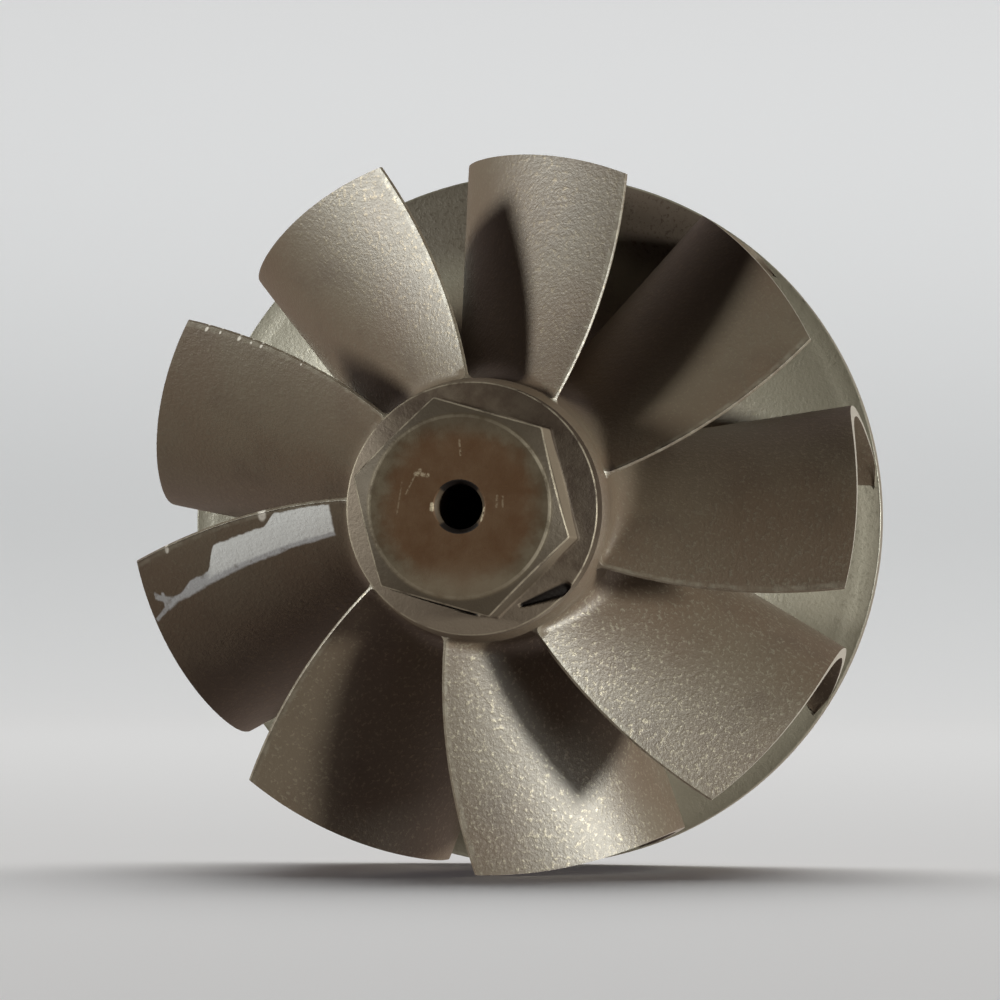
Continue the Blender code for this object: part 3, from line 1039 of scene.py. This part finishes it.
def cast_skin():
    """Blasted cast alloy, browned by heat, with bright ground edges, a paint mark and painted
    glints, light and shade.
    """
    shader = Shader(bpy.data.materials.new("cast_skin"), "Principled BSDF")
    grain = shader.noise(SKIN_GRAIN, roughness=0.7)
    lumps = shader.noise(SKIN_LUMPS)
    spark = grain.ramp(0.53, 0.66)
    ground = shader.attribute("ground")
    depth = shader.attribute("blade_depth")
    radius = shader.attribute("blade_radius")
    number = shader.attribute("blade_number")
    on_blade = number.ramp(0.2, 0.8)

    cloud = shader.noise(6.0 * MM, detail=2.0)
    stain = shader.noise(2.2 * MM, seed=3.0)
    colour = shader.mix(cloud.ramp(0.38, 0.62), *SKIN_BROWNS)
    colour = shader.mix(stain.ramp(0.5, 0.75) * 0.6, colour, SKIN_STAIN)
    # Bright grain specks, painted stronger as glints on the blades that the right light falls on,
    # about the fourth and fifth
    glint_on_lit_blades = (number - 4.6).absolute().ramp(2.2, 0.8) * 0.28 + 0.25
    colour = shader.mix(spark * glint_on_lit_blades, colour, SKIN_SPARK_AND_GLINT)
    dust = shader.specks(1.3 * MM, 0.06 * MM, 0.3, 1.0)
    colour = shader.mix(dust * 0.8, colour, SKIN_DUST)

    right, height = [shader.part_of_place(axis) / MM for axis in ("X", "Z")]
    reach = (right * right + height * height) ** 0.5
    on_disc = (1.0 - on_blade) * (reach + cloud * 2.0).ramp(17.0, 24.0)
    face = shader.mix(spark * 0.4, DISC_METAL, DISC_SPARK)
    # Painted light and shade: pale pools where the side lights fall on the disc between blades,
    # darker patches where blades shade it
    for (across, up), size, tint in DISC_PAINTED_LIGHT_AND_SHADE:
        off = ((right - across) ** 2.0 + (height - up) ** 2.0) ** 0.5
        face = shader.mix((off + stain * 3.0).ramp(size + 3.0, size - 0.5), face, tint)
    colour = shader.mix(on_disc, colour, face)

    uneven = shader.noise(0.5 * MM, detail=2.0, seed=7.0).ramp(0.42, 0.6)
    # Paler outlet edges on every blade, partly wear and partly painted glint
    wear_and_glint = on_blade * (1.0 - depth.ramp(0.02, 0.14)) * (uneven * 0.6 + 0.2)
    colour = shader.mix(wear_and_glint * 0.7, colour, WORN_EDGE_AND_GLINT)
    for blade, out, size in EDGE_CHIPS:
        off = ((radius - out) ** 2.0 + (depth * 1.3) ** 2.0) ** 0.5 + lumps * 0.2 - 0.1
        chip = off.ramp(size, 0.5 * size) * (number - blade).absolute().ramp(0.6, 0.4)
        colour = shader.mix(chip, colour, FRESH_CHIP)
    colour = shader.mix(ground, colour, shader.mix(on_blade, GROUND_DISC, GROUND_TIP))
    paint, paint_colour = paint_mark(shader, depth, radius, number)
    colour = shader.mix(paint, colour, paint_colour)

    rough = shader.bump(lumps, 0.03 * MM, 0.4)
    fine = shader.bump(grain, 0.045 * MM, 1.0, rough)
    shader.set(
        Base_Color=colour,
        Roughness=0.4 + lumps * 0.1 - ground * 0.15 - wear_and_glint * 0.05,
        Metallic=(1.0 - paint) * (spark * 0.5 + 0.1),
        Normal=fine,
        IOR=1.8,
    )
    return shader.owner


def paint_mark(shader, depth, radius, number):
    """Where the pale paint mark lies on its blade, and its colour."""
    wobble = shader.noise(0.9 * MM, detail=4.0, roughness=0.65, seed=5.0) - 0.5
    rag = depth + wobble * 0.35
    across = radius + wobble * 0.6
    upper = across.ramp(17.3, 18.5) * 0.5 + across.ramp(22.9, 24.2) * 0.98
    upper = upper + across.ramp(25.6, 27.2) * 0.3 + 0.08
    body = (rag - upper).ramp(-0.05, 0.05) * (1.0 - rag.ramp(2.04, 2.2))
    body = body * across.ramp(12.35, 12.6) * (1.0 - across.ramp(28.2, 28.6))
    for start, end, width in PAINT_ARMS:
        arm = 1.0 - shader.streak(across, rag, start, end).ramp(0.6 * width, 1.4 * width)
        body = body.largest(arm * 0.8)
    its_blade = (number - PAINTED_BLADE).absolute().ramp(0.6, 0.4)
    thin = rag.ramp(1.75, 1.95).largest(radius.ramp(23.6, 24.6))
    scuffed = shader.noise(0.35 * MM, seed=9.0).ramp(0.28, 0.45) * 0.4 + 0.6
    return body * its_blade * scuffed.largest(1.0 - thin), shader.mix(thin, THICK_PAINT, THIN_PAINT)


def face_scratches_and_glints(shader, right, height, grain):
    """The strength of the scratches in the hexagon's face and of the glints painted at the centre
    hole's mouth.
    """
    marks = 0.0
    for start, end, width, strength in FACE_SCRATCHES_AND_GLINTS:
        mark = shader.streak(right, height, start, end).ramp(width, 0.3 * width)
        marks = (mark * strength).largest(marks)
    return marks * grain.ramp(0.38, 0.56)


def collar_colour(shader, right, height, blotch):
    """Mottled brown, with painted shade on the right and painted light low down and on the left."""
    colour = shader.mix(blotch.ramp(0.35, 0.65), *COLLAR_BROWNS)
    # Painted shade on the right, then painted light low down and on the left
    colour = shader.mix((right + height * 0.6).ramp(5.0, 10.0) * 0.6, colour, COLLAR_SHADE_RIGHT)
    low = (height * -1.0 - right * 0.3).ramp(2.0, 7.0)
    colour = shader.mix(low * 0.9, colour, COLLAR_LIT_LOW)
    colour = shader.mix(right.ramp(-6.0, -9.0) * 0.7, colour, COLLAR_LIT_LEFT)
    flecks = shader.specks(0.8 * MM, 0.1 * MM, 0.3, 6.0)
    return shader.mix(flecks * 0.5, colour, COLLAR_FLECKS)


def nose_metal():
    """The turned metal of the hexagon and the collar, stained brown and scratched, with painted
    light, shade and glints.
    """
    shader = Shader(bpy.data.materials.new("nose_metal"), "Principled BSDF")
    right, depth, height = [shader.part_of_place(axis) / MM for axis in ("X", "Y", "Z")]
    below_face = depth + NOSE_STATION / MM
    above_collar = depth * -1.0 - COLLAR_STATION / MM
    reach = (right * right + height * height) ** 0.5
    grain = shader.noise(NOSE_GRAIN, roughness=0.65)
    blotch = shader.noise(NOSE_BLOTCH, detail=4.0, roughness=0.6, seed=2.0)
    cloud = shader.noise(2.6 * MM, seed=4.0)

    face_brown = shader.mix(blotch.ramp(0.3, 0.7), *FACE_BROWNS)
    face_olive = shader.mix(blotch.ramp(0.3, 0.7), *FACE_OLIVES)
    rim = (reach + (blotch - 0.5) * 2.6 + (cloud - 0.5) * 2.0).ramp(5.2, 7.2)
    colour = shader.mix(rim, face_brown, face_olive)
    # Painted light low down on the nose and painted shade high up
    colour = shader.mix(height.ramp(-4.0, -6.5) * 0.6, colour, FACE_LIT_LOW)
    colour = shader.mix(height.ramp(5.0, 7.0) * 0.5, colour, FACE_SHADED_HIGH)
    colour = shader.mix(below_face.ramp(0.05, 0.2) * 0.8, colour, CHAMFER_BROWN)
    # Painted light on the flats on the right, which face the right light
    flats = (height + right * 3.0).ramp(10.0, 20.0) * below_face.ramp(0.9, 1.1)
    colour = shader.mix(flats * 0.8, colour, RIGHT_FLATS_LIT)
    on_collar = above_collar.ramp(0.95, 0.75)
    colour = shader.mix(on_collar, colour, collar_colour(shader, right, height, blotch))

    # Paler edge rings, partly rubbing and partly painted glint; the face's edge gets its glint only
    # on the right, where the right light catches it
    face_edge = 1.0 - (reach - HEX_FACE_RADIUS / MM).absolute().ramp(0.2, 0.4)
    face_edge_unlit = face_edge * right.ramp(6.5, 3.0)
    edges = shader.attribute("wear_and_glint") * blotch.ramp(0.3, 0.55) * (1.0 - face_edge_unlit * 0.8)
    colour = shader.mix(edges * 0.75, colour, RUBBED_EDGE_AND_GLINT)
    marks = face_scratches_and_glints(shader, right, height, grain) * below_face.ramp(0.6, 0.5)
    colour = shader.mix(marks, colour, FRESH_SCRATCH_AND_GLINT)
    # Painted shade: near black in the centre hole, its mouth's top and bottom, the slit and the
    # gouge
    dark = shader.attribute("dark").ramp(0.1, 0.6)
    colour = shader.mix(dark, colour, RECESS_SHADE)

    rough = shader.bump(blotch, 0.06 * MM, 1.0)
    fine = shader.bump(grain, 0.04 * MM, 1.0, rough)
    shader.set(
        Base_Color=colour,
        Roughness=0.5 + blotch * 0.15 - edges * 0.1,
        Metallic=0.3 - dark * 0.3,
        Normal=fine,
        Specular_IOR_Level=0.3,
    )
    return shader.owner


def dress(piece, material):
    piece.data.materials.clear()
    piece.data.materials.append(material)


# The camera, the floor and the light


def add_camera():
    """The photograph's viewpoint."""
    up = CAMERA_RIGHT.cross(CAMERA_AHEAD).normalized()
    ahead = CAMERA_AHEAD.normalized()
    right = ahead.cross(up)
    camera = bpy.data.objects.new("camera", bpy.data.cameras.new("camera"))
    turn = Matrix((right, up, -ahead)).transposed()
    camera.matrix_world = Matrix.Translation(CAMERA_PLACE) @ turn.to_4x4()
    camera.data.lens = CAMERA_LENS
    camera.data.sensor_width = SENSOR_WIDTH
    camera.data.clip_start = 10.0 * MM
    bpy.context.scene.collection.objects.link(camera)
    bpy.context.scene.camera = camera


def add_floor():
    """A pale floor that sweeps up behind the wheel."""
    turns = np.linspace(0.0, 0.5 * math.pi, SWEEP_STEPS + 1)
    line = [(FLOOR_FRONT, 0.0)]
    line += [(SWEEP_START + SWEEP * math.sin(t), SWEEP * (1.0 - math.cos(t))) for t in turns]
    line.append((SWEEP_START + SWEEP, BACKDROP_TOP))
    points = np.array([[(side, y, z - DISC_RADIUS) for side in FLOOR_SIDES] for y, z in line])
    floor = grid_object("floor", points)
    floor.data.shade_smooth()
    shader = Shader(bpy.data.materials.new("pale_floor"), "Principled BSDF")
    glow = shader.mix(shader.part_of_place("Y").ramp(*GLOW_RUNS), GLOW_NEAR, GLOW_FAR)
    shader.set(Base_Color=FLOOR_COLOUR, Roughness=0.8, Emission_Color=glow, Emission_Strength=1.0)
    dress(floor, shader.owner)
    floor.visible_diffuse = False
    floor.visible_glossy = False
    floor.visible_shadow = False
    return floor


def add_light(name, azimuth, elevation, distance, size, power, colour=(1.0, 1.0, 1.0)):
    """A soft light; azimuth is from the nose's direction towards +X, in degrees."""
    lamp = bpy.data.lights.new(name, "AREA")
    lamp.shape = "DISK"
    lamp.size = size
    lamp.energy = power
    lamp.color = colour
    light = bpy.data.objects.new(name, lamp)
    around = math.radians(azimuth)
    rise = math.radians(elevation)
    towards = Vector(
        (math.sin(around) * math.cos(rise), -math.cos(around) * math.cos(rise), math.sin(rise))
    )
    light.location = Vector((0.0, -0.5 * NOSE_STATION, 0.0)) + towards * distance
    light.rotation_euler = towards.to_track_quat("Z", "Y").to_euler()
    bpy.context.scene.collection.objects.link(light)
    return light


def shine_only_on(light, pieces):
    """Lets a light fall on some objects and leave the others as they are."""
    lit = bpy.data.collections.new("lit_by_" + light.name)
    for piece in pieces:
        lit.objects.link(piece)
    light.light_linking.receiver_collection = lit


def add_lights(wheel, floor):
    """Soft lights from both sides and off the floor, one for the floor, and a pale room."""
    shine_only_on(add_light("right_softbox", *RIGHT_SOFTBOX, KEY_COLOUR), wheel)
    shine_only_on(add_light("left_softbox", *LEFT_SOFTBOX, KEY_COLOUR), wheel)
    shine_only_on(add_light("floor_bounce", *FLOOR_BOUNCE, KEY_COLOUR), wheel)
    shine_only_on(add_light("floor_softbox", *FLOOR_SOFTBOX), [floor])
    world = bpy.data.worlds.new("studio")
    bpy.context.scene.world = world
    shader = Shader(world, "Background")
    direction = shader.node("ShaderNodeTexCoord", output="Generated")
    back, up = [shader.node("ShaderNodeSeparateXYZ", {}, [direction], axis) for axis in ("Y", "Z")]
    room = back.ramp(-0.1, 0.7) * ROOM_BEHIND + up.ramp(0.1, -0.7) * ROOM_BELOW + ROOM_DIM
    seen = shader.node("ShaderNodeLightPath", output="Is Camera Ray")
    shader.set(Color=shader.mix(seen, ROOM_COLOUR, SEEN_COLOUR))
    shader.set(Strength=room + (ROOM_SEEN - room) * seen)


def main():
    bpy.context.scene.view_settings.view_transform = "Standard"
    add_camera()
    skin = cast_skin()
    nose_finish = nose_metal()

    hub = make_hub()
    shade(hub, 35.0)
    dress(hub, skin)

    nose = make_nose()
    shade(nose, 25.0)
    dress(nose, nose_finish)

    blades = make_first_blade()
    repeat_round_axis(blades, skin)
    shade(blades, 50.0)

    wheel = (hub, nose, blades)
    for piece in wheel:
        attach(piece, "root")
        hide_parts(CASTING)

    add_lights(wheel, add_floor())


main()
